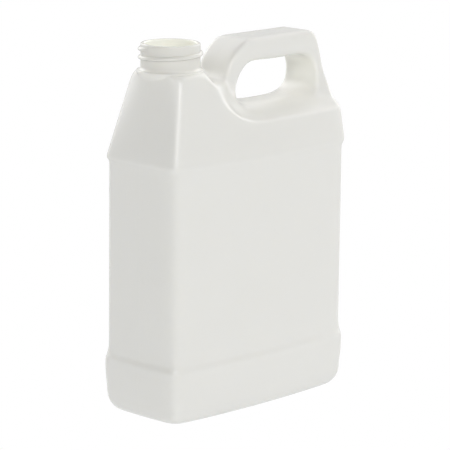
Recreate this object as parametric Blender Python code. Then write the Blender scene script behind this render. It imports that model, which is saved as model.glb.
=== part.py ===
"""An empty white jug with a threaded neck at one end and a hand hole at the other.

The jug is blow moulded in one piece, so it is one solid: a thin skin, open at the mouth. The
skin is a cage of square faces, drawn on a grid in the front view, drawn out to both wide sides
and then rounded by a Subdivision Surface. A second, smaller skin and a bore are cut out of it.
All sizes are in millimetres until a mesh is made. +X points to the handle, +Z up, and the wide
sides face -Y and +Y. The jug stands on z = 0, centred on the Z axis.
"""
import math

import bmesh
import bpy
from mathutils import Matrix, Vector

MM = 0.001
SHARP_ANGLE = math.radians(38)

# Body
HALF_WIDTH = 63.7
HALF_DEPTH = 26.7
BOW = 3.7
END_BOW = 1.0
WALL = 1.0
HOLLOW_DETAIL = 0.36
FOOT_TAPER = 2.5
HEEL_Z = 12.6
HEEL_TAPER = 0.65
STEP = 1.25
BAND_TOP = 27.6
PANEL_TOP = 128.7
LEAN = 0.212

# Shoulder and the ledge round the hand hole
RIDGE_Z = 148.5
DECK_Z = 175.1
DECK_LEFT = -51.1
DECK_RIGHT = -28.0
DECK_BOW = 6.5
NOTCH_CUT = 5.5
LIP = 0.4
FACE_LIP = 0.9
LEDGE = 5.0

# Handle
HANDLE_TOP = 188.4
HANDLE_HALF_DEPTH = 11.2
HOLE_BOTTOM = 152.4
HOLE_TOP = 176.2
CREST = 2.1

# Neck finish, for a common 33 mm screw cap
NECK_X = -41.7
RIM_Z = 189.9
NECK_RADIUS = 15.0
BORE_RADIUS = 12.9
BORE_FOOT = 172.0
CONE_FOOT = (14.0, 169.0)
COLLAR_RADIUS = 16.9
COLLAR_LOW = 174.8
COLLAR_HIGH = 176.6
NECK_FILLET = 1.8
LIP_ROUND = 0.7
NECK_SEGMENTS = 40
THREAD_PITCH = 4.23
THREAD_TURNS = 1.28
THREAD_START = math.radians(85)
THREAD_START_Z = 182.2
THREAD_FADE = 5
THREAD_ROOT = 0.6
THREAD_SECTION = ((-1.2, -THREAD_ROOT), (-0.7, 1.3), (0.4, 1.2), (1.4, -THREAD_ROOT))
OUTER_RINGS = ((16.8, 176.0), (14.9, 177.8), (14.5, 180.0), (14.5, 183.5))
INNER_RINGS = ((13.6, 174.6), (12.6, 176.4), (12.2, 179.0), (12.2, 183.0))

# Grid of the cage: columns across the front view, rows up it, and layers from front to back
COLUMNS = (
    -HALF_WIDTH, -52.7, -42.6, -35.1, -28.1, -21.6, -16.1, -11.0, -5.5,
    1.5, 14.0, 29.1, 42.1, 52.7, HALF_WIDTH,
)
SIDE_LAYER = 0.57
NECK_COLUMN = 4
END_COLUMN = 7
HOLE_LEFT, HOLE_RIGHT = 9, 12
BAND_ROW, PANEL_ROW, RIDGE_ROW, DECK_ROW = 3, 8, 11, 14
HOLE_FOOT_ROW, HOLE_HEAD_ROW, TOP_ROW = 13, 15, 17
# How crisp some edges of the cage stay when it is rounded: level rows, the ridge, the corners
CRISP_ROWS = {3: 0.34, 4: 0.26, 8: 0.2, 9: 0.3}
CRISP_RIDGE = 0.36
CRISP_HEEL_CORNER = 0.32
CRISP_FOOT_CORNER = 0.12
CRISP_SHOULDER_CORNER = 0.25


def clear_scene():
    for thing in list(bpy.data.objects):
        bpy.data.objects.remove(thing, do_unlink=True)


def white_plastic():
    material = bpy.data.materials.new("hdpe_white")
    material.use_nodes = True
    shader = material.node_tree.nodes["Principled BSDF"]
    shader.inputs["Base Color"].default_value = (0.80, 0.80, 0.775, 1.0)
    shader.inputs["Roughness"].default_value = 0.38
    shader.inputs["Metallic"].default_value = 0.0
    return material


def between(low, high, share):
    return low + (high - low) * share


def neck_side_row(z, left, right):
    """Five points that run from the narrow end of the shoulder to the right of the neck."""
    shares = (0.0, 0.25, 0.5, 0.75, 1.0)
    return [(between(left, right[0], t), between(z, right[1], t ** 2)) for t in shares]


def shoulder_left(z):
    foot = -(HALF_WIDTH - LIP)
    return between(foot, DECK_LEFT, (z - PANEL_TOP - 2.5) / (DECK_Z - PANEL_TOP - 2.5))


def body_rows():
    """Height of each row of the straight body, and how far it stands in from the widest line."""
    return (
        (0.0, FOOT_TAPER),
        (HEEL_Z, HEEL_TAPER),
        (20.0, 0.0),
        (BAND_TOP, 0.0),
        (BAND_TOP + 2.8, STEP),
        (BAND_TOP + 7.0, STEP),
        (78.0, STEP),
        (PANEL_TOP - 4.5, STEP),
        (PANEL_TOP, STEP),
        (PANEL_TOP + 2.6, LIP),
    )


def front_view():
    """The (x, z) place of every grid point, seen from the front, as a list of rows."""
    rows = []
    for z, inset in body_rows():
        width = (HALF_WIDTH - inset) / HALF_WIDTH
        rows.append([(x * width, z) for x in COLUMNS])
    side = HALF_WIDTH - LIP
    # The row below the ridge
    rows.append(
        neck_side_row(139.5, shoulder_left(139.5), (-28.5, 141.0))
        + [(-22.5, 145.0), (-16.0, 144.8), (-10.0, 144.2)]
        + [(x, RIDGE_Z - 4.5) for x in (-4.0, 3.0, 14.5, 29.0, 42.0, 52.5, side)]
    )
    # The ridge, which runs level under the hole and climbs round its left side to the neck
    rows.append(
        neck_side_row(150.0, shoulder_left(150.0), (-29.5, 151.5))
        + [(-21.8, 155.8), (-16.4, 152.0), (-10.0, 149.5)]
        + [(x, RIDGE_Z) for x in (-3.0, 4.5, 15.5, 29.0, 42.0, 52.5)]
        + [(side, RIDGE_Z + 1.0)]
    )
    # The inner edge of the ridge
    rows.append(
        neck_side_row(159.5, shoulder_left(159.5), (-32.0, 160.0))
        + [(-25.4, 160.8), (-18.0, 157.0), (-12.2, 153.8)]
        + [(x, RIDGE_Z + 2.4) for x in (-4.5, 4.5, 16.0, 29.5, 42.5, 54.0)]
        + [(side, RIDGE_Z + 3.8)]
    )
    # The lower edge of the hole
    rows.append(
        neck_side_row(168.0, shoulder_left(168.0), (-34.0, 167.3))
        + [(-27.6, 165.8), (-19.8, 165.2), (-14.8, 163.6), (-10.8, 160.0), (-7.6, 154.8)]
        + [(16.0, HOLE_BOTTOM), (32.0, HOLE_BOTTOM), (53.4, 153.0), (58.8, 155.4), (63.2, 157.2)]
    )
    # The top of the shoulder, the bottom of the notch and the middle of the hole
    rows.append(
        neck_side_row(DECK_Z, DECK_LEFT, (DECK_RIGHT, DECK_Z - 0.6))
        + [(-25.6, 170.4), (-19.0, 169.8), (-12.4, 169.8), (-9.2, 168.0), (-6.0, 165.8)]
        + [(16.0, 166.0), (31.5, 166.0), (55.4, 166.0), (57.6, 166.8), (59.7, 167.5)]
    )
    # The upper edge of the hole, the middle of the grip and its top, right of the notch only
    spare = [(NECK_X, DECK_Z)] * END_COLUMN
    rows.append(
        spare + [(-10.2, 177.6), (-3.4, 178.4), (2.6, 177.4)]
        + [(17.0, HOLE_TOP), (32.0, HOLE_TOP), (51.2, 176.8), (54.2, 178.0), (57.3, 178.0)]
    )
    rows.append(
        spare + [(-4.6, 184.0), (2.8, 184.0), (9.6, 183.6)]
        + [(19.5, 182.8), (32.5, 182.8), (46.4, 182.8), (51.2, 183.2), (55.3, 183.8)]
    )
    rows.append(spare + [(x, HANDLE_TOP) for x in (2.6, 8.4, 14.4, 22.5, 34.0, 43.4, 48.0, 52.2)])
    return rows


def body_half_depth(x, z, inset):
    lean = LEAN * max(0.0, z - PANEL_TOP - 2.5)
    return HALF_DEPTH + BOW * (1.0 - (x / HALF_WIDTH) ** 2) - inset - lean


def half_depth(column, row, x, z):
    """Half of the thickness from front to back at one grid point."""
    insets = [inset for height, inset in body_rows()]
    body = body_half_depth(x, z, insets[row] if row <= PANEL_ROW else FACE_LIP)
    if row <= RIDGE_ROW or column <= NECK_COLUMN + 1:
        return body
    if row == RIDGE_ROW + 1 or column == NECK_COLUMN + 2:
        return max(body - LEDGE, HANDLE_HALF_DEPTH + 1.5)
    if row == HOLE_FOOT_ROW:
        return HANDLE_HALF_DEPTH + 2.2
    return HANDLE_HALF_DEPTH


def notch_cut(column, row, layer):
    """How far the shoulder's top is cut back at both faces, so that it ends round the neck."""
    share = min(1.0, column / NECK_COLUMN)
    return NOTCH_CUT * share * layer ** 2 if row == DECK_ROW and column <= NECK_COLUMN + 1 else 0.0


def end_bow(column, row, layer, z):
    """How far the middle of a narrow end stands out; most below the neck, which it meets."""
    if column not in (0, len(COLUMNS) - 1) or row > DECK_ROW or (column and row > RIDGE_ROW + 1):
        return 0.0
    bow = END_BOW
    if column == 0 and row > PANEL_ROW:
        bow = between(END_BOW, DECK_BOW, (z - PANEL_TOP) / (DECK_Z - PANEL_TOP))
    return math.copysign(bow, column - 1) * (1.0 - layer ** 2)


def in_jug(column, row):
    """Whether a cell of the grid, named by its lower left point, is part of the jug."""
    hole = HOLE_LEFT <= column < HOLE_RIGHT and HOLE_FOOT_ROW <= row < HOLE_HEAD_ROW
    return (row < DECK_ROW or column >= END_COLUMN) and not hole


def grid_sheet(bm):
    """A sheet of unit cells in the XZ plane at y = -1, without the notch and the hole."""
    columns, rows = len(COLUMNS) - 1, TOP_ROW
    bmesh.ops.create_grid(bm, x_segments=columns, y_segments=rows, size=0.5)
    bmesh.ops.scale(bm, vec=(columns, rows, 1.0), verts=bm.verts)
    bmesh.ops.translate(bm, vec=(columns / 2, rows / 2, 1.0), verts=bm.verts)
    bmesh.ops.rotate(bm, matrix=Matrix.Rotation(math.radians(90), 3, "X"), verts=bm.verts)
    outside = []
    for face in bm.faces:
        centre = face.calc_center_median()
        if not in_jug(int(centre.x), int(centre.z)):
            outside.append(face)
    bmesh.ops.delete(bm, geom=outside, context="FACES")


def side_layers(bm):
    """Draws the sheet out from y = -1 to y = 1 and cuts its rim into four layers."""
    drawn = bmesh.ops.extrude_face_region(bm, geom=bm.faces[:])
    moved = [item for item in drawn["geom"] if isinstance(item, bmesh.types.BMVert)]
    bmesh.ops.translate(bm, vec=(0.0, 2.0, 0.0), verts=moved)
    for layer in (-SIDE_LAYER, 0.0, SIDE_LAYER):
        everything = bm.verts[:] + bm.edges[:] + bm.faces[:]
        bmesh.ops.bisect_plane(bm, geom=everything, plane_co=(0, layer, 0), plane_no=(0, 1, 0))


def crispness(ends):
    """The crease of an edge between two corners of the unit grid."""
    columns, rows, layers = zip(*ends)
    low = min(rows)
    if rows[0] == rows[1]:
        on_ridge = low == RIDGE_ROW and min(columns) >= NECK_COLUMN and min(map(abs, layers)) == 1
        return CRISP_RIDGE if on_ridge else CRISP_ROWS.get(low, 0.0)
    on_corner = columns[0] == columns[1] and min(map(abs, layers)) == 1
    if not on_corner or columns[0] not in (0, len(COLUMNS) - 1):
        return 0.0
    if low <= BAND_ROW:
        return CRISP_FOOT_CORNER if low else CRISP_HEEL_CORNER
    return CRISP_SHOULDER_CORNER if PANEL_ROW < low < DECK_ROW else 0.0


def keep_crisp(bm):
    """Creases the edges of the unit grid that stay crisp."""
    crease = bm.edges.layers.float.new("crease_edge")
    for edge in bm.edges:
        ends = [(round(co.x), round(co.z), round(co.y, 1)) for co in (v.co for v in edge.verts)]
        edge[crease] = crispness(ends)


def put_in_place(bm):
    """Moves each corner of the unit grid to its real place; returns base and deck faces."""
    front = front_view()
    base, deck = [], []
    for face in bm.faces:
        centre = face.calc_center_median()
        if abs(centre.z) < 0.01:
            base.append(face)
        if abs(centre.z - DECK_ROW) < 0.01 and centre.x < NECK_COLUMN:
            deck.append(face)
    for vert in bm.verts:
        column, row, layer = round(vert.co.x), round(vert.co.z), vert.co.y
        x, z = front[row][column]
        if row == HOLE_FOOT_ROW and HOLE_LEFT <= column <= HOLE_RIGHT and abs(layer) < 0.9:
            z += CREST
        side = layer * half_depth(column, row, x, z)
        x += end_bow(column, row, layer, z) - notch_cut(column, row, layer)
        vert.co = Vector((x, side, z))
    return base, deck


def step_in(bm, faces, move):
    """Draws faces out as a new ring and moves each of their corners; returns the faces."""
    drawn = bmesh.ops.extrude_face_region(bm, geom=faces)["geom"]
    bmesh.ops.delete(bm, geom=faces, context="FACES")
    for vert in [item for item in drawn if isinstance(item, bmesh.types.BMVert)]:
        vert.co = move(vert.co)
    return [item for item in drawn if isinstance(item, bmesh.types.BMFace)]


def shape_base(bm, base):
    """A flat ring to stand on, with the middle of the base pushed up."""
    last = 0.0
    for inset, z in ((7.2, 0.0), (10.5, 0.0), (13.5, 0.0), (15.5, 2.6), (19.0, 3.4)):
        wide = (HALF_WIDTH - inset) / (HALF_WIDTH - last)
        deep = (HALF_DEPTH - inset) / (HALF_DEPTH - last)
        base = step_in(bm, base, lambda co: Vector((co.x * wide, co.y * deep, z)))
        last = inset


def shape_neck(bm, deck, rings):
    """Draws the square top of the shoulder up through round rings and closes the last one."""
    bmesh.ops.delete(bm, geom=deck, context="FACES")
    rim = [edge for edge in bm.edges if edge.is_boundary]
    for radius, z in rings:
        drawn = bmesh.ops.extrude_edge_only(bm, edges=rim)["geom"]
        rim = [item for item in drawn if isinstance(item, bmesh.types.BMEdge) and item.is_boundary]
        corners = [item for item in drawn if isinstance(item, bmesh.types.BMVert)]
        corners.sort(key=lambda vert: turn_from_handle(vert.co))
        for number, vert in enumerate(corners):
            angle = math.tau * number / len(corners)
            spot = Vector((math.cos(angle), math.sin(angle))) * radius
            vert.co = Vector((NECK_X + spot.x, spot.y, z))
    bmesh.ops.edgeloop_fill(bm, edges=rim)


def turn_from_handle(co):
    """The angle round the neck, counted from just before the side that faces the handle."""
    return (math.atan2(co.y, co.x - NECK_X) + 0.1) % math.tau


def skin(name, inset, rings, material):
    """One closed skin of the jug, its cage shrunk by the inset, and rounded."""
    bm = bmesh.new()
    grid_sheet(bm)
    side_layers(bm)
    keep_crisp(bm)
    base, deck = put_in_place(bm)
    shape_base(bm, base)
    bmesh.ops.recalc_face_normals(bm, faces=bm.faces)
    if inset:
        bm.normal_update()
        shift = {vert: vert.normal * vert.calc_shell_factor() * inset for vert in bm.verts}
        for vert, offset in shift.items():
            vert.co -= offset
    shape_neck(bm, deck, rings)
    return finish(bm, name, material)


def finish(bm, name, material):
    bmesh.ops.recalc_face_normals(bm, faces=bm.faces)
    bmesh.ops.scale(bm, vec=(MM, MM, MM), verts=bm.verts)
    mesh = bpy.data.meshes.new(name)
    bm.to_mesh(mesh)
    bm.free()
    mesh.shade_smooth()
    mesh.set_sharp_from_angle(angle=SHARP_ANGLE)
    mesh.materials.append(material)
    thing = bpy.data.objects.new(name, mesh)
    bpy.context.scene.collection.objects.link(thing)
    return thing


def turned(name, outline, material):
    """A solid turned round the neck's axis from (radius, height) points."""
    bm = bmesh.new()
    points = [bm.verts.new((NECK_X + radius, 0.0, z)) for radius, z in outline]
    edges = [bm.edges.new(pair) for pair in zip(points, points[1:])]
    bmesh.ops.spin(
        bm, geom=points + edges, cent=(NECK_X, 0.0, 0.0), axis=(0.0, 0.0, 1.0),
        angle=math.tau, steps=NECK_SEGMENTS, use_merge=True,
    )
    bmesh.ops.remove_doubles(bm, verts=bm.verts, dist=0.01)
    return finish(bm, name, material)


def rounded_corner(centre, radius, start, end, steps):
    """Points of an arc in (radius, height) from one angle to another, in degrees."""
    turns = [math.radians(between(start, end, step / steps)) for step in range(steps + 1)]
    return [(centre[0] + radius * math.cos(a), centre[1] + radius * math.sin(a)) for a in turns]


def neck_finish(material):
    """The collar, the fillet above it and the plain tube up to a rounded lip."""
    outline = [(0.0, CONE_FOOT[1]), CONE_FOOT, (COLLAR_RADIUS, COLLAR_LOW)]
    outline += [(COLLAR_RADIUS, COLLAR_HIGH - 0.3), (COLLAR_RADIUS - 0.3, COLLAR_HIGH)]
    fillet = NECK_FILLET
    outline += rounded_corner((NECK_RADIUS + fillet, COLLAR_HIGH + fillet), fillet, 265, 180, 2)
    outline += rounded_corner((NECK_RADIUS - LIP_ROUND, RIM_Z - LIP_ROUND), LIP_ROUND, 0, 90, 2)
    outline.append((0.0, RIM_Z))
    return turned("neck_finish", outline, material)


def bore(material):
    outline = [(0.0, BORE_FOOT), (BORE_RADIUS, BORE_FOOT), (BORE_RADIUS, RIM_Z - LIP_ROUND)]
    outline += [(BORE_RADIUS + LIP_ROUND, RIM_Z + LIP_ROUND), (0.0, RIM_Z + LIP_ROUND)]
    return turned("bore", outline, material)


def thread(material):
    """One rising ridge round the neck that grows out of the wall and dies back into it."""
    bm = bmesh.new()
    section = [bm.verts.new((NECK_RADIUS + out, 0.0, up)) for up, out in THREAD_SECTION]
    bm.faces.new(section)
    steps = round(NECK_SEGMENTS * THREAD_TURNS)
    rise = THREAD_PITCH * THREAD_TURNS / steps
    bmesh.ops.spin(
        bm, geom=bm.verts[:] + bm.edges[:] + bm.faces[:], cent=(0.0, 0.0, 0.0),
        axis=(0.0, 0.0, 1.0), dvec=(0.0, 0.0, rise), angle=math.tau * THREAD_TURNS, steps=steps,
    )
    for number, vert in enumerate(bm.verts):
        step = number // len(THREAD_SECTION)
        grown = min(1.0, 0.1 + step / THREAD_FADE, 0.1 + (steps - step) / THREAD_FADE)
        radius = vert.co.xy.length
        keep = NECK_RADIUS - THREAD_ROOT + (radius - NECK_RADIUS + THREAD_ROOT) * grown
        vert.co.xy *= keep / radius
    bmesh.ops.rotate(bm, matrix=Matrix.Rotation(THREAD_START, 3, "Z"), verts=bm.verts)
    bmesh.ops.translate(bm, vec=(NECK_X, 0.0, THREAD_START_Z), verts=bm.verts)
    return finish(bm, "thread", material)


def round_off(thing, levels):
    smooth = thing.modifiers.new("rounding", "SUBSURF")
    smooth.levels = levels
    smooth.render_levels = levels


def thin_out(thing, share):
    """Leaves only a share of the triangles, on a skin that is seen only through the mouth."""
    modifier = thing.modifiers.new("thinning", "DECIMATE")
    modifier.ratio = share


def combine(thing, tool, operation):
    """Adds or cuts a helper solid, which itself stays out of sight."""
    modifier = thing.modifiers.new(tool.name, "BOOLEAN")
    modifier.operation = operation
    modifier.object = tool
    tool.hide_render = True
    tool.display_type = "WIRE"


def main():
    clear_scene()
    plastic = white_plastic()
    bottle = skin("bottle", 0.0, OUTER_RINGS, plastic)
    hollow = skin("hollow", WALL, INNER_RINGS, plastic)
    round_off(bottle, 1)
    round_off(hollow, 1)
    thin_out(hollow, HOLLOW_DETAIL)
    combine(bottle, neck_finish(plastic), "UNION")
    combine(bottle, thread(plastic), "UNION")
    combine(bottle, hollow, "DIFFERENCE")
    combine(bottle, bore(plastic), "DIFFERENCE")


main()
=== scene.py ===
"""An empty white jug, seen a little from above, on a plain white floor.

The jug is one blow-moulded skin. It has the cage of its solid, rounded more finely, a finer
neck and thread, and the parting line of the mould. The jug's sizes are in millimetres until
its mesh is made. +X points to the handle, +Z up, and the wide sides face -Y and +Y.
"""
import math

import bmesh
import bpy
from mathutils import Matrix, Vector


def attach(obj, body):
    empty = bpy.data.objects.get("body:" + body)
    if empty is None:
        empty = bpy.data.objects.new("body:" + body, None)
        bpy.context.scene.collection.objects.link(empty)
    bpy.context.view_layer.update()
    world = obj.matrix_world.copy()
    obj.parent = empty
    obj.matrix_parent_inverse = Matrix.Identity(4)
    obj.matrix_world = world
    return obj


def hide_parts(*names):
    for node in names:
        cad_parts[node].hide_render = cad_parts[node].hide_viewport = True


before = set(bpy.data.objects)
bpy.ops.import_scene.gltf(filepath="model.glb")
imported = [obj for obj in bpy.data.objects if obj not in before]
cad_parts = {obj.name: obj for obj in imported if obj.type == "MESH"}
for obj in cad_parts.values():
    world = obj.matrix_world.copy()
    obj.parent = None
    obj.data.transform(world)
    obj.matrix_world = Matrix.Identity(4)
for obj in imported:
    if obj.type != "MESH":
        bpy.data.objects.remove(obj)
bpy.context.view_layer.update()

MM = 0.001

# Body: half its size, how far its faces bow out, its wall, and its rows from the foot up
HALF_WIDTH = 63.7
HALF_DEPTH = 26.7
BOW = 3.7
END_BOW = 1.0
WALL = 1.0
FOOT_TAPER = 2.5
HEEL_Z = 12.6
HEEL_TAPER = 0.65
STEP = 1.25
BAND_TOP = 27.6
BAND_STEP_RISE = 2.8
PANEL_TOP = 128.7
LIP_RISE = 2.6
# How far each ring of the base lies in from the widest line, and its height
BASE_RINGS = ((7.2, 0.0), (10.5, 0.0), (13.5, 0.0), (15.5, 2.6), (19.0, 3.4))

# Shoulder, which leans in by LEAN for each unit of height, and the ledge round the hand hole
SHOULDER_FOOT = PANEL_TOP + 2.5
LEAN = 0.212
RIDGE_Z = 148.5
DECK_Z = 175.1
DECK_LEFT = -51.1
DECK_RIGHT = -28.0
DECK_BOW = 6.5
NOTCH_CUT = 5.5
LIP = 0.4
FACE_LIP = 0.9
LEDGE = 5.0

# Handle
HANDLE_TOP = 188.4
HANDLE_HALF_DEPTH = 11.2
LEDGE_WIDENING = 1.5
FOOT_WIDENING = 2.2
HOLE_BOTTOM = 152.4
HOLE_TOP = 176.2
CREST = 2.1

# Neck finish, for a common 33 mm screw cap
NECK_X = -41.7
RIM_Z = 189.9
NECK_RADIUS = 15.0
BORE_RADIUS = 12.9
BORE_FOOT = 172.0
BORE_ABOVE_RIM = 2.0
CONE_FOOT = (14.0, 169.0)
COLLAR_RADIUS = 16.9
COLLAR_LOW = 174.8
COLLAR_HIGH = 176.6
COLLAR_ROUND = 0.3
NECK_FILLET = 1.8
LIP_ROUND = 0.7
NECK_SEGMENTS = 128
THREAD_PITCH = 4.23
THREAD_TURNS = 1.28
THREAD_START = math.radians(85)
THREAD_START_Z = 182.2
THREAD_FADE = 14
THREAD_END_SHARE = 0.1
THREAD_ROOT = 0.6
THREAD_SECTION = (
    (-1.25, -THREAD_ROOT), (-1.15, 0.1), (-0.95, 0.9), (-0.6, 1.25),
    (0.0, 1.3), (0.6, 0.95), (1.0, 0.3), (1.4, -THREAD_ROOT),
)
# Radius and height of the rings that close the two skins, hidden in the neck's wall
OUTER_RINGS = ((16.8, 176.0), (14.9, 177.8), (14.5, 180.0), (14.5, 183.5))
INNER_RINGS = ((13.6, 174.6), (12.6, 176.4), (12.2, 179.0), (12.2, 183.0))

# Grid of the cage: columns across the front view, rows up it, and layers from front to back
COLUMNS = (
    -HALF_WIDTH, -52.7, -42.6, -35.1, -28.1, -21.6, -16.1, -11.0, -5.5,
    1.5, 14.0, 29.1, 42.1, 52.7, HALF_WIDTH,
)
SIDE_LAYER = 0.57
NECK_COLUMN = 4
END_COLUMN = 7
HOLE_LEFT, HOLE_RIGHT = 9, 12
BAND_ROW, PANEL_ROW, RIDGE_ROW, DECK_ROW = 3, 8, 11, 14
HOLE_FOOT_ROW, HOLE_HEAD_ROW, TOP_ROW = 13, 15, 17
# How crisp some edges of the cage stay when it is rounded: level rows, the ridge, the corners
CRISP_ROWS = {3: 0.34, 4: 0.26, 8: 0.2, 9: 0.3}
CRISP_RIDGE = 0.36
CRISP_HEEL_CORNER = 0.32
CRISP_FOOT_CORNER = 0.12
CRISP_SHOULDER_CORNER = 0.25
# Points closer than this count as one
NEAR = 0.01

# Rounding of the two skins, and the ridge that the mould's parting line leaves
OUTER_LEVELS = 3
INNER_LEVELS = 2
SHARP_ANGLE = 38
SEAM_HALF_WIDTH = 0.3
SEAM_HEIGHT = 0.03
SEAM_CLEAR = 1.0
ON_MIDDLE = 0.02

# White plastic; the depth of its scatter and the heights of its relief are in metres
PLASTIC_IOR = 1.52
MILKINESS = 0.3
SCATTER_COLOUR = (1.0, 0.95, 0.85)
SCATTER_DEPTH = 0.0025
BASE_DARK = (0.855, 0.844, 0.795, 1.0)
BASE_LIGHT = (0.875, 0.864, 0.815, 1.0)
CLOUD_SCALE = 22.0
# Painted shade: the factor that darkens the neck's colour above its collar, and how far past the neck's
# radius it reaches
PAINTED_NECK_SHADE = 0.905
NECK_REACH = 2.5
ROUGH_LOW = 0.18
ROUGH_HIGH = 0.25
GRAIN_SCALE = 900.0
GRAIN_STRENGTH = 0.15
GRAIN_HEIGHT = 0.00003
RIPPLE_SCALE = 60.0
RIPPLE_STRENGTH = 0.12
RIPPLE_HEIGHT = 0.0004

# Painted light: a glow that stands in for the light the thin walls let through; its strength, and where it
# fades in
PAINTED_LIGHT_COLOUR = (0.97, 1.0, 0.85, 1.0)
BORE_PAINTED_LIGHT = 0.21
BORE_PAINTED_LIGHT_RISE = (145.0, 165.0)
BORE_PAINTED_LIGHT_EDGE = (BORE_RADIUS + 0.9, BORE_RADIUS + 0.3)
HOLE_PAINTED_LIGHT = 0.065
HOLE_PAINTED_LIGHT_ACROSS = (46.0, 52.0)
HOLE_PAINTED_LIGHT_RISE = (154.0, 162.0)
TURNED_TO_NECK = (-0.2, -0.8)

# Camera, as in the photo: degrees, metres, and a focal length in the photo's pixels
PHOTO_WIDTH = 450
SENSOR_WIDTH = 36.0
CAMERA_AZIMUTH = 46.018
CAMERA_ELEVATION = 12.265
CAMERA_ROLL = 0.630
CAMERA_DISTANCE = 1.40982
CAMERA_FOCUS = 2739.64
CAMERA_TARGET = (-0.001052, 0.000295, 0.091096)
CLIP_START = 0.05
CLIP_END = 50.0

# Floor, in metres, and light
FLOOR_HALF = 12.0
FLOOR_COLOUR = (0.98, 0.99, 1.0, 1.0)
FLOOR_GLOW = 0.85
WHITE = (1.0, 1.0, 1.0, 1.0)
# Azimuth, elevation, sharpness and strength of each soft light in the surround
SOFT_LIGHTS = (
    (0, 20, 3, 0.35),
    (-45, 20, 3, 0.19),
    (180, 20, 3, 0.09),
    (180, 25, 10, 3.5),
    (-90, 20, 10, 2.6),
    (135, 25, 5, 0.06),
    (-135, 25, 5, 0.55),
    (14, 27, 50, 2.6),
    (44, 27, 80, 11.0),
    (74, 27, 50, 2.6),
    (-46, 48, 60, 3.0),
    (-90, 62, 20, 0.5),
)


def between(low, high, share):
    return low + (high - low) * share


def neck_side_row(z, left, right):
    """Five points that run from the narrow end of the shoulder to the right of the neck."""
    shares = (0.0, 0.25, 0.5, 0.75, 1.0)
    return [(between(left, right[0], t), between(z, right[1], t ** 2)) for t in shares]


def shoulder_left(z):
    """How far left the narrow end of the shoulder reaches at a height."""
    foot = -(HALF_WIDTH - LIP)
    return between(foot, DECK_LEFT, (z - SHOULDER_FOOT) / (DECK_Z - SHOULDER_FOOT))


def body_rows():
    """Height of each row of the straight body, and how far it stands in from the widest line."""
    return (
        (0.0, FOOT_TAPER),
        (HEEL_Z, HEEL_TAPER),
        (20.0, 0.0),
        (BAND_TOP, 0.0),
        (BAND_TOP + BAND_STEP_RISE, STEP),
        (BAND_TOP + 7.0, STEP),
        (78.0, STEP),
        (PANEL_TOP - 4.5, STEP),
        (PANEL_TOP, STEP),
        (PANEL_TOP + LIP_RISE, LIP),
    )


def front_view():
    """The (x, z) place of every grid point, seen from the front, as a list of rows."""
    rows = []
    for z, inset in body_rows():
        width = (HALF_WIDTH - inset) / HALF_WIDTH
        rows.append([(x * width, z) for x in COLUMNS])
    side = HALF_WIDTH - LIP
    # The row below the ridge
    rows.append(
        neck_side_row(139.5, shoulder_left(139.5), (-28.5, 141.0))
        + [(-22.5, 145.0), (-16.0, 144.8), (-10.0, 144.2)]
        + [(x, RIDGE_Z - 4.5) for x in (-4.0, 3.0, 14.5, 29.0, 42.0, 52.5, side)]
    )
    # The ridge, which runs level under the hole and climbs round its left side to the neck
    rows.append(
        neck_side_row(150.0, shoulder_left(150.0), (-29.5, 151.5))
        + [(-21.8, 155.8), (-16.4, 152.0), (-10.0, 149.5)]
        + [(x, RIDGE_Z) for x in (-3.0, 4.5, 15.5, 29.0, 42.0, 52.5)]
        + [(side, RIDGE_Z + 1.0)]
    )
    # The inner edge of the ridge
    rows.append(
        neck_side_row(159.5, shoulder_left(159.5), (-32.0, 160.0))
        + [(-25.4, 160.8), (-18.0, 157.0), (-12.2, 153.8)]
        + [(x, RIDGE_Z + 2.4) for x in (-4.5, 4.5, 16.0, 29.5, 42.5, 54.0)]
        + [(side, RIDGE_Z + 3.8)]
    )
    # The lower edge of the hole
    rows.append(
        neck_side_row(168.0, shoulder_left(168.0), (-34.0, 167.3))
        + [(-27.6, 165.8), (-19.8, 165.2), (-14.8, 163.6), (-10.8, 160.0), (-7.6, 154.8)]
        + [(16.0, HOLE_BOTTOM), (32.0, HOLE_BOTTOM), (53.4, 153.0), (58.8, 155.4), (63.2, 157.2)]
    )
    # The top of the shoulder, the bottom of the notch and the middle of the hole
    rows.append(
        neck_side_row(DECK_Z, DECK_LEFT, (DECK_RIGHT, DECK_Z - 0.6))
        + [(-25.6, 170.4), (-19.0, 169.8), (-12.4, 169.8), (-9.2, 168.0), (-6.0, 165.8)]
        + [(16.0, 166.0), (31.5, 166.0), (55.4, 166.0), (57.6, 166.8), (59.7, 167.5)]
    )
    # The upper edge of the hole, the middle of the grip and its top, right of the notch only
    spare = [(NECK_X, DECK_Z)] * END_COLUMN
    rows.append(
        spare + [(-10.2, 177.6), (-3.4, 178.4), (2.6, 177.4)]
        + [(17.0, HOLE_TOP), (32.0, HOLE_TOP), (51.2, 176.8), (54.2, 178.0), (57.3, 178.0)]
    )
    rows.append(
        spare + [(-4.6, 184.0), (2.8, 184.0), (9.6, 183.6)]
        + [(19.5, 182.8), (32.5, 182.8), (46.4, 182.8), (51.2, 183.2), (55.3, 183.8)]
    )
    rows.append(spare + [(x, HANDLE_TOP) for x in (2.6, 8.4, 14.4, 22.5, 34.0, 43.4, 48.0, 52.2)])
    return rows


def body_half_depth(x, z, inset):
    lean = LEAN * max(0.0, z - SHOULDER_FOOT)
    return HALF_DEPTH + BOW * (1.0 - (x / HALF_WIDTH) ** 2) - inset - lean


def half_depth(column, row, x, z):
    """Half of the thickness from front to back at one grid point."""
    insets = [inset for height, inset in body_rows()]
    body = body_half_depth(x, z, insets[row] if row <= PANEL_ROW else FACE_LIP)
    if row <= RIDGE_ROW or column <= NECK_COLUMN + 1:
        return body
    if row == RIDGE_ROW + 1 or column == NECK_COLUMN + 2:
        return max(body - LEDGE, HANDLE_HALF_DEPTH + LEDGE_WIDENING)
    if row == HOLE_FOOT_ROW:
        return HANDLE_HALF_DEPTH + FOOT_WIDENING
    return HANDLE_HALF_DEPTH


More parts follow.
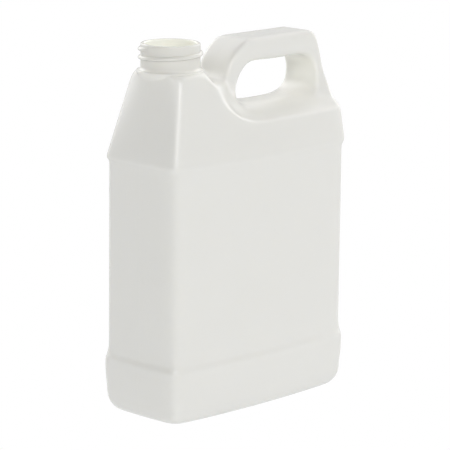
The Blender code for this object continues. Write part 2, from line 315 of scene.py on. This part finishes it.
def notch_cut(column, row, layer):
    """How far the shoulder's top is cut back at both faces, so that it ends round the neck."""
    share = min(1.0, column / NECK_COLUMN)
    return NOTCH_CUT * share * layer ** 2 if row == DECK_ROW and column <= NECK_COLUMN + 1 else 0.0


def end_bow(column, row, layer, z):
    """How far the middle of a narrow end stands out; most below the neck, which it meets."""
    if column not in (0, len(COLUMNS) - 1) or row > DECK_ROW or (column and row > RIDGE_ROW + 1):
        return 0.0
    bow = END_BOW
    if column == 0 and row > PANEL_ROW:
        bow = between(END_BOW, DECK_BOW, (z - PANEL_TOP) / (DECK_Z - PANEL_TOP))
    return math.copysign(bow, column - 1) * (1.0 - layer ** 2)


def in_jug(column, row):
    """Whether a cell of the grid, named by its lower left point, is part of the jug."""
    hole = HOLE_LEFT <= column < HOLE_RIGHT and HOLE_FOOT_ROW <= row < HOLE_HEAD_ROW
    return (row < DECK_ROW or column >= END_COLUMN) and not hole


def grid_sheet(bm):
    """A sheet of unit cells in the XZ plane at y = -1, without the notch and the hole."""
    columns, rows = len(COLUMNS) - 1, TOP_ROW
    bmesh.ops.create_grid(bm, x_segments=columns, y_segments=rows, size=0.5)
    bmesh.ops.scale(bm, vec=(columns, rows, 1.0), verts=bm.verts)
    bmesh.ops.translate(bm, vec=(columns / 2, rows / 2, 1.0), verts=bm.verts)
    bmesh.ops.rotate(bm, matrix=Matrix.Rotation(math.radians(90), 3, "X"), verts=bm.verts)
    outside = []
    for face in bm.faces:
        centre = face.calc_center_median()
        if not in_jug(int(centre.x), int(centre.z)):
            outside.append(face)
    bmesh.ops.delete(bm, geom=outside, context="FACES")


def side_layers(bm):
    """Draws the sheet out from y = -1 to y = 1 and cuts its rim into four layers."""
    drawn = bmesh.ops.extrude_face_region(bm, geom=bm.faces[:])
    moved = [item for item in drawn["geom"] if isinstance(item, bmesh.types.BMVert)]
    bmesh.ops.translate(bm, vec=(0.0, 2.0, 0.0), verts=moved)
    for layer in (-SIDE_LAYER, 0.0, SIDE_LAYER):
        everything = bm.verts[:] + bm.edges[:] + bm.faces[:]
        bmesh.ops.bisect_plane(bm, geom=everything, plane_co=(0, layer, 0), plane_no=(0, 1, 0))


def crispness(ends):
    """The crease of an edge between two corners of the unit grid."""
    columns, rows, layers = zip(*ends)
    low = min(rows)
    if rows[0] == rows[1]:
        on_ridge = low == RIDGE_ROW and min(columns) >= NECK_COLUMN and min(map(abs, layers)) == 1
        return CRISP_RIDGE if on_ridge else CRISP_ROWS.get(low, 0.0)
    on_corner = columns[0] == columns[1] and min(map(abs, layers)) == 1
    if not on_corner or columns[0] not in (0, len(COLUMNS) - 1):
        return 0.0
    if low <= BAND_ROW:
        return CRISP_FOOT_CORNER if low else CRISP_HEEL_CORNER
    return CRISP_SHOULDER_CORNER if PANEL_ROW < low < DECK_ROW else 0.0


def keep_crisp(bm):
    """Creases the edges of the unit grid that stay crisp."""
    crease = bm.edges.layers.float.new("crease_edge")
    for edge in bm.edges:
        ends = [(round(co.x), round(co.z), round(co.y, 1)) for co in (v.co for v in edge.verts)]
        edge[crease] = crispness(ends)


def put_in_place(bm):
    """Moves each corner of the unit grid to its real place; returns base and deck faces."""
    front = front_view()
    base, deck = [], []
    for face in bm.faces:
        centre = face.calc_center_median()
        if abs(centre.z) < NEAR:
            base.append(face)
        if abs(centre.z - DECK_ROW) < NEAR and centre.x < NECK_COLUMN:
            deck.append(face)
    for vert in bm.verts:
        column, row, layer = round(vert.co.x), round(vert.co.z), vert.co.y
        x, z = front[row][column]
        if row == HOLE_FOOT_ROW and HOLE_LEFT <= column <= HOLE_RIGHT and abs(layer) < 0.9:
            z += CREST
        side = layer * half_depth(column, row, x, z)
        x += end_bow(column, row, layer, z) - notch_cut(column, row, layer)
        vert.co = Vector((x, side, z))
    return base, deck


def step_in(bm, faces, move):
    """Draws faces out as a new ring and moves each of their corners; returns the faces."""
    drawn = bmesh.ops.extrude_face_region(bm, geom=faces)["geom"]
    bmesh.ops.delete(bm, geom=faces, context="FACES")
    for vert in [item for item in drawn if isinstance(item, bmesh.types.BMVert)]:
        vert.co = move(vert.co)
    return [item for item in drawn if isinstance(item, bmesh.types.BMFace)]


def shape_base(bm, base):
    """A flat ring to stand on, with the middle of the base pushed up."""
    last = 0.0
    for inset, z in BASE_RINGS:
        wide = (HALF_WIDTH - inset) / (HALF_WIDTH - last)
        deep = (HALF_DEPTH - inset) / (HALF_DEPTH - last)
        base = step_in(bm, base, lambda co: Vector((co.x * wide, co.y * deep, z)))
        last = inset


def shape_neck(bm, deck, rings):
    """Draws the square top of the shoulder up through round rings and closes the last one."""
    bmesh.ops.delete(bm, geom=deck, context="FACES")
    rim = [edge for edge in bm.edges if edge.is_boundary]
    for radius, z in rings:
        drawn = bmesh.ops.extrude_edge_only(bm, edges=rim)["geom"]
        rim = [item for item in drawn if isinstance(item, bmesh.types.BMEdge) and item.is_boundary]
        corners = [item for item in drawn if isinstance(item, bmesh.types.BMVert)]
        corners.sort(key=lambda vert: turn_from_handle(vert.co))
        for number, vert in enumerate(corners):
            angle = math.tau * number / len(corners)
            spot = Vector((math.cos(angle), math.sin(angle))) * radius
            vert.co = Vector((NECK_X + spot.x, spot.y, z))
    bmesh.ops.edgeloop_fill(bm, edges=rim)


def turn_from_handle(co):
    """The angle round the neck, counted from just before the side that faces the handle."""
    return (math.atan2(co.y, co.x - NECK_X) + 0.1) % math.tau


def put_in_scene(name, data):
    thing = bpy.data.objects.new(name, data)
    bpy.context.scene.collection.objects.link(thing)
    return thing


def finish(bm, name):
    """The bmesh as an object, in metres, with its faces turned outwards."""
    bmesh.ops.recalc_face_normals(bm, faces=bm.faces)
    bmesh.ops.scale(bm, vec=(MM, MM, MM), verts=bm.verts)
    mesh = bpy.data.meshes.new(name)
    bm.to_mesh(mesh)
    bm.free()
    return put_in_scene(name, mesh)


def skin(name, inset, rings, levels):
    """One closed skin of the jug, its cage shrunk by the inset, and rounded."""
    bm = bmesh.new()
    grid_sheet(bm)
    side_layers(bm)
    keep_crisp(bm)
    base, deck = put_in_place(bm)
    shape_base(bm, base)
    bmesh.ops.recalc_face_normals(bm, faces=bm.faces)
    if inset:
        bm.normal_update()
        shift = {vert: vert.normal * vert.calc_shell_factor() * inset for vert in bm.verts}
        for vert, offset in shift.items():
            vert.co -= offset
    shape_neck(bm, deck, rings)
    thing = finish(bm, name)
    smooth = thing.modifiers.new("rounding", "SUBSURF")
    smooth.levels = levels
    smooth.render_levels = levels
    return thing


def turned(name, outline):
    """A solid turned round the neck's axis from (radius, height) points."""
    bm = bmesh.new()
    points = [bm.verts.new((NECK_X + radius, 0.0, z)) for radius, z in outline]
    edges = [bm.edges.new(pair) for pair in zip(points, points[1:])]
    bmesh.ops.spin(
        bm, geom=points + edges, cent=(NECK_X, 0.0, 0.0), axis=(0.0, 0.0, 1.0),
        angle=math.tau, steps=NECK_SEGMENTS, use_merge=True,
    )
    bmesh.ops.remove_doubles(bm, verts=bm.verts, dist=NEAR)
    return finish(bm, name)


def rounded_corner(centre, radius, start, end, steps=4):
    """Points of an arc in (radius, height) from one angle to another, in degrees."""
    turns = [math.radians(between(start, end, step / steps)) for step in range(steps + 1)]
    return [(centre[0] + radius * math.cos(a), centre[1] + radius * math.sin(a)) for a in turns]


def neck_finish():
    """The collar, the fillet above it and the plain tube up to a rounded lip."""
    edge, fillet, lip = COLLAR_ROUND, NECK_FILLET, LIP_ROUND
    outline = [(0.0, CONE_FOOT[1]), CONE_FOOT, (COLLAR_RADIUS, COLLAR_LOW)]
    outline += rounded_corner((COLLAR_RADIUS - edge, COLLAR_HIGH - edge), edge, 0, 90, 3)
    outline += rounded_corner((NECK_RADIUS + fillet, COLLAR_HIGH + fillet), fillet, 265, 180, 6)
    outline += rounded_corner((NECK_RADIUS - lip, RIM_Z - lip), lip, 0, 90)
    outline.append((0.0, RIM_Z))
    return turned("neck_finish", outline)


def bore():
    """What is cut out of the neck, with the rounded inner edge of the lip."""
    mouth = BORE_RADIUS + LIP_ROUND
    outline = [(0.0, BORE_FOOT), (BORE_RADIUS, BORE_FOOT)]
    outline += rounded_corner((mouth, RIM_Z - LIP_ROUND), LIP_ROUND, 180, 95)
    outline += [(mouth, RIM_Z + BORE_ABOVE_RIM), (0.0, RIM_Z + BORE_ABOVE_RIM)]
    return turned("bore", outline)


def thread():
    """One rising ridge round the neck that grows out of the wall and dies back into it."""
    bm = bmesh.new()
    section = [bm.verts.new((NECK_RADIUS + out, 0.0, up)) for up, out in THREAD_SECTION]
    bm.faces.new(section)
    steps = round(NECK_SEGMENTS * THREAD_TURNS)
    rise = THREAD_PITCH * THREAD_TURNS / steps
    bmesh.ops.spin(
        bm, geom=bm.verts[:] + bm.edges[:] + bm.faces[:], cent=(0.0, 0.0, 0.0),
        axis=(0.0, 0.0, 1.0), dvec=(0.0, 0.0, rise), angle=math.tau * THREAD_TURNS, steps=steps,
    )
    root = NECK_RADIUS - THREAD_ROOT
    for number, vert in enumerate(bm.verts):
        step = number // len(THREAD_SECTION)
        run = min(1.0, step / THREAD_FADE, (steps - step) / THREAD_FADE)
        grown = between(THREAD_END_SHARE, 1.0, math.sin(run * math.pi / 2))
        radius = vert.co.xy.length
        vert.co.xy *= between(root, radius, grown) / radius
    bmesh.ops.rotate(bm, matrix=Matrix.Rotation(THREAD_START, 3, "Z"), verts=bm.verts)
    bmesh.ops.translate(bm, vec=(NECK_X, 0.0, THREAD_START_Z), verts=bm.verts)
    return finish(bm, "thread")


def settle(thing):
    """Makes what the modifiers give the object's own mesh."""
    shown = thing.evaluated_get(bpy.context.evaluated_depsgraph_get())
    mesh = bpy.data.meshes.new_from_object(shown)
    thing.modifiers.clear()
    thing.data = mesh


def raise_seam(thing):
    """The fine ridge that the two halves of the mould leave all round the jug."""
    bm = bmesh.new()
    bm.from_mesh(thing.data)
    for side in (-SEAM_HALF_WIDTH, SEAM_HALF_WIDTH):
        everything = bm.verts[:] + bm.edges[:] + bm.faces[:]
        bmesh.ops.bisect_plane(
            bm, geom=everything, dist=1e-7, plane_co=(0.0, side * MM, 0.0), plane_no=(0.0, 1.0, 0.0)
        )
    bm.normal_update()
    shift = {}
    for vert in bm.verts:
        if abs(vert.co.y) < ON_MIDDLE * MM and vert.co.z > SEAM_CLEAR * MM:
            shift[vert] = vert.normal * SEAM_HEIGHT * MM
    for vert, offset in shift.items():
        vert.co += offset
    bm.to_mesh(thing.data)
    bm.free()


def combine(thing, tool, operation):
    """Adds or cuts a helper solid."""
    modifier = thing.modifiers.new(tool.name, "BOOLEAN")
    modifier.operation = operation
    modifier.object = tool


def make_bottle():
    """The whole jug: the outer skin with its neck and thread, hollowed by the inner skin."""
    bottle = skin("moulded_bottle", 0.0, OUTER_RINGS, OUTER_LEVELS)
    settle(bottle)
    raise_seam(bottle)
    hollow = skin("hollow", WALL, INNER_RINGS, INNER_LEVELS)
    tools = ((neck_finish(), "UNION"), (thread(), "UNION"), (hollow, "DIFFERENCE"), (bore(), "DIFFERENCE"))
    for tool, operation in tools:
        combine(bottle, tool, operation)
    settle(bottle)
    for tool, operation in tools:
        bpy.data.objects.remove(tool, do_unlink=True)
    bottle.data.shade_smooth()
    bottle.data.set_sharp_from_angle(angle=math.radians(SHARP_ANGLE))
    return bottle


def set_sockets(tree, node, sockets):
    """Gives each socket, named or numbered, a value or the output that feeds it."""
    for socket, given in sockets.items():
        if isinstance(given, bpy.types.NodeSocket):
            tree.links.new(given, node.inputs[socket])
        else:
            node.inputs[socket].default_value = given


def add_node(tree, kind, sockets, **settings):
    node = tree.nodes.new("ShaderNode" + kind)
    for name, setting in settings.items():
        setattr(node, name, setting)
    set_sockets(tree, node, sockets)
    return node


def calculate(tree, operation, first, second):
    """One sum of two numbers, each a value or an output."""
    return add_node(tree, "Math", {0: first, 1: second}, operation=operation).outputs["Value"]


def ramp(tree, value, ends, low=0.0, high=1.0):
    """Goes evenly from low to high while the value goes from one end to the other."""
    sockets = {"Value": value, "From Min": ends[0], "From Max": ends[1], "To Min": low, "To Max": high}
    return add_node(tree, "MapRange", sockets).outputs["Result"]


def in_metres(ends):
    return [end * MM for end in ends]


def noise(tree, place, scale, detail):
    sockets = {"Vector": place.outputs["Object"], "Scale": scale, "Detail": detail}
    return add_node(tree, "TexNoise", sockets).outputs["Fac"]


def distance_from_neck(tree, place):
    """How far a point lies from the neck's axis, whatever its height."""
    sockets = {0: place.outputs["Object"], 1: (1.0, 1.0, 0.0), 2: (-NECK_X * MM, 0.0, 0.0)}
    flat = add_node(tree, "VectorMath", sockets, operation="MULTIPLY_ADD")
    reach = add_node(tree, "VectorMath", {0: flat.outputs["Vector"]}, operation="LENGTH")
    return reach.outputs["Value"]


def cloudy_tint_and_painted_neck_shade(tree, place, height, reach):
    """Faintly cloudy white, with painted shade that makes the neck a little darker above its collar."""
    cloud = noise(tree, place, CLOUD_SCALE, 2.0)
    sockets = {"Factor": cloud, "A": BASE_DARK, "B": BASE_LIGHT}
    tint = add_node(tree, "Mix", sockets, data_type="RGBA")
    above_collar = in_metres((COLLAR_HIGH, COLLAR_HIGH + NECK_FILLET))
    # Painted shade: the neck's colour is darkened above the collar
    shade = ramp(tree, height, above_collar, 1.0, PAINTED_NECK_SHADE)
    near_axis = calculate(tree, "LESS_THAN", reach, (NECK_RADIUS + NECK_REACH) * MM)
    painted_shade_on_neck = add_node(tree, "Mix", {"Factor": near_axis, "A": 1.0, "B": shade})
    sockets = {0: tint.outputs["Result"], "Scale": painted_shade_on_neck.outputs["Result"]}
    return add_node(tree, "VectorMath", sockets, operation="SCALE").outputs["Vector"]


def painted_wall_light(tree, place, spot, reach):
    """Painted light: a glow inside the bore, and on the hole's wall at the handle, for what the thin walls
    let through.
    """
    height = spot.outputs["Z"]
    in_bore = ramp(tree, reach, in_metres(BORE_PAINTED_LIGHT_EDGE))
    bore_painted_light = ramp(tree, height, in_metres(BORE_PAINTED_LIGHT_RISE), 0.0, BORE_PAINTED_LIGHT)
    bore_painted_light = calculate(tree, "MULTIPLY", in_bore, bore_painted_light)
    facing = add_node(tree, "SeparateXYZ", {"Vector": place.outputs["Normal"]})
    faces_neck = ramp(tree, facing.outputs["X"], TURNED_TO_NECK)
    at_leg = ramp(tree, spot.outputs["X"], in_metres(HOLE_PAINTED_LIGHT_ACROSS))
    hole_painted_light = ramp(tree, height, in_metres(HOLE_PAINTED_LIGHT_RISE), 0.0, HOLE_PAINTED_LIGHT)
    hole_painted_light = calculate(tree, "MULTIPLY", at_leg, hole_painted_light)
    hole_painted_light = calculate(tree, "MULTIPLY", hole_painted_light, faces_neck)
    return calculate(tree, "ADD", bore_painted_light, hole_painted_light)


def surface_relief(tree, place, grain):
    """The slow waves of a blown wall under the fine grain of its mould."""
    ripple = noise(tree, place, RIPPLE_SCALE, 1.0)
    sockets = {"Strength": RIPPLE_STRENGTH, "Distance": RIPPLE_HEIGHT, "Height": ripple}
    wave = add_node(tree, "Bump", sockets).outputs["Normal"]
    sockets = {"Strength": GRAIN_STRENGTH, "Distance": GRAIN_HEIGHT, "Height": grain, "Normal": wave}
    return add_node(tree, "Bump", sockets).outputs["Normal"]


def white_polyethylene():
    """Milky white blow-moulded plastic: soft gloss, a little light carried through the wall, a painted
    glow inside the bore and the hand hole, and painted shade on the neck.
    """
    material = bpy.data.materials.new("white_polyethylene")
    material.use_nodes = True
    tree = material.node_tree
    place = add_node(tree, "TexCoord", {})
    spot = add_node(tree, "SeparateXYZ", {"Vector": place.outputs["Object"]})
    reach = distance_from_neck(tree, place)
    grain = noise(tree, place, GRAIN_SCALE, 3.0)
    set_sockets(tree, tree.nodes["Principled BSDF"], {
        "IOR": PLASTIC_IOR,
        "Subsurface Weight": MILKINESS,
        "Subsurface Radius": SCATTER_COLOUR,
        "Subsurface Scale": SCATTER_DEPTH,
        "Base Color": cloudy_tint_and_painted_neck_shade(tree, place, spot.outputs["Z"], reach),
        "Emission Color": PAINTED_LIGHT_COLOUR,
        # Painted light: the glow inside the bore and on the hand hole's wall
        "Emission Strength": painted_wall_light(tree, place, spot, reach),
        "Roughness": ramp(tree, grain, (0.0, 1.0), ROUGH_LOW, ROUGH_HIGH),
        "Normal": surface_relief(tree, place, grain),
    })
    return material


def show_white(tree, unseen, white, output):
    """Shows plain white to the camera and gives all other light the unseen shader."""
    seen = add_node(tree, "LightPath", {})
    mix = add_node(tree, "MixShader", {"Fac": seen.outputs["Is Camera Ray"], 1: unseen, 2: white})
    set_sockets(tree, tree.nodes[output], {"Surface": mix.outputs["Shader"]})


def make_floor():
    """A floor as white as the backdrop, which lights the jug from below."""
    bm = bmesh.new()
    bmesh.ops.create_grid(bm, x_segments=1, y_segments=1, size=FLOOR_HALF)
    mesh = bpy.data.meshes.new("floor")
    bm.to_mesh(mesh)
    bm.free()
    floor = put_in_scene("floor", mesh)
    material = bpy.data.materials.new("white_paper")
    material.use_nodes = True
    tree = material.node_tree
    tree.nodes.remove(tree.nodes["Principled BSDF"])
    paper = add_node(tree, "Emission", {"Color": FLOOR_COLOUR, "Strength": FLOOR_GLOW})
    white = add_node(tree, "Emission", {"Color": WHITE, "Strength": 1.0})
    show_white(tree, paper.outputs["Emission"], white.outputs["Emission"], "Material Output")
    mesh.materials.append(material)


def toward(azimuth, elevation):
    """A direction from degrees round the jug, from -Y towards -X, and above the floor."""
    a, e = math.radians(azimuth), math.radians(elevation)
    return Vector((-math.sin(a) * math.cos(e), -math.cos(a) * math.cos(e), math.sin(e)))


def make_surround():
    """A white backdrop for the camera; what it gives off is a few broad soft lights."""
    world = bpy.data.worlds.new("surround")
    world.use_nodes = True
    bpy.context.scene.world = world
    tree = world.node_tree
    direction = add_node(tree, "TexCoord", {}).outputs["Generated"]
    total = 0.0
    for azimuth, elevation, sharpness, strength in SOFT_LIGHTS:
        sockets = {0: direction, 1: toward(azimuth, elevation)}
        facing = add_node(tree, "VectorMath", sockets, operation="DOT_PRODUCT")
        lobe = calculate(tree, "MAXIMUM", facing.outputs["Value"], 0.0)
        lobe = calculate(tree, "POWER", lobe, sharpness)
        lobe = calculate(tree, "MULTIPLY", lobe, strength)
        total = calculate(tree, "ADD", total, lobe)
    lights = tree.nodes["Background"]
    set_sockets(tree, lights, {"Color": WHITE, "Strength": total})
    backdrop = add_node(tree, "Background", {"Color": WHITE})
    show_white(tree, lights.outputs["Background"], backdrop.outputs["Background"], "World Output")


def make_camera():
    """The photo's camera: its place, turn and focal length come from the jug's outline."""
    camera = bpy.data.cameras.new("camera")
    camera.sensor_width = SENSOR_WIDTH
    camera.lens = CAMERA_FOCUS * SENSOR_WIDTH / PHOTO_WIDTH
    camera.clip_start = CLIP_START
    camera.clip_end = CLIP_END
    eye = put_in_scene("camera", camera)
    a, e = math.radians(CAMERA_AZIMUTH), math.radians(CAMERA_ELEVATION)
    forward = Vector((math.sin(a) * math.cos(e), math.cos(a) * math.cos(e), -math.sin(e)))
    right = Vector((math.cos(a), -math.sin(a), 0.0))
    right = Matrix.Rotation(math.radians(-CAMERA_ROLL), 3, forward) @ right
    up = right.cross(forward)
    eye.rotation_mode = "QUATERNION"
    eye.rotation_quaternion = Matrix((right, up, -forward)).transposed().to_quaternion()
    eye.location = Vector(CAMERA_TARGET) - forward * CAMERA_DISTANCE
    bpy.context.scene.camera = eye


bpy.context.scene.view_settings.view_transform = "Standard"
make_camera()
make_surround()
make_floor()
bottle = make_bottle()
bottle.data.materials.clear()
bottle.data.materials.append(white_polyethylene())
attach(bottle, "root")
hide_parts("bottle")
